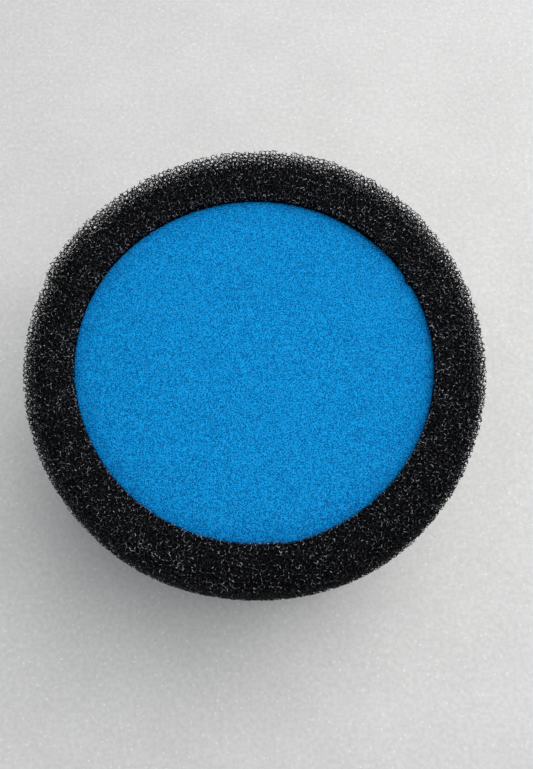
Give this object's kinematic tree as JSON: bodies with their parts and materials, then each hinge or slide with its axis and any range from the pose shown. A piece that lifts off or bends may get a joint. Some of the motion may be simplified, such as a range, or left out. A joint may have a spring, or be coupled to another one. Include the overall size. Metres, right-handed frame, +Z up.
{
  "type": "sponge filter",
  "caption": "Round two-stage foam filter cartridge: coarse outer sleeve, fine inner core with a closed top, and a slotted strainer tube with a bushed pump socket underneath.",
  "frame": {"origin": "centre of the underside, on the plane that the cartridge stands on", "axes": "+Z up along the cartridge's axis, from the pump socket to the closed top; +X and +Y level"},
  "size_m": [0.15, 0.15, 0.1],
  "materials": {
    "coarse_foam": "matte",
    "fine_foam": "matte",
    "seam_glue": "satin",
    "core_glue": "satin",
    "black_plastic": "satin",
    "bush_rubber": "matte"
  },
  "bodies": {
    "strainer": {"strainer_tube": "black_plastic", "strainer_end_cap": "black_plastic", "base_flange": "black_plastic", "socket_bush": "bush_rubber"},
    "core": {"fine_core_ring": "fine_foam", "core_disc_bond": "core_glue", "fine_end_disc": "fine_foam"},
    "sleeve": {"coarse_sleeve": "coarse_foam", "sleeve_seam_bond": "seam_glue"}
  },
  "joints": [
    {"name": "core_pull", "type": "slide", "parent": "strainer", "child": "core", "axis": [0, 0, 1], "range_m": [0, 0.075]},
    {"name": "sleeve_pull", "type": "slide", "parent": "core", "child": "sleeve", "axis": [0, 0, 1], "range_m": [0, 0.105]}
  ]
}
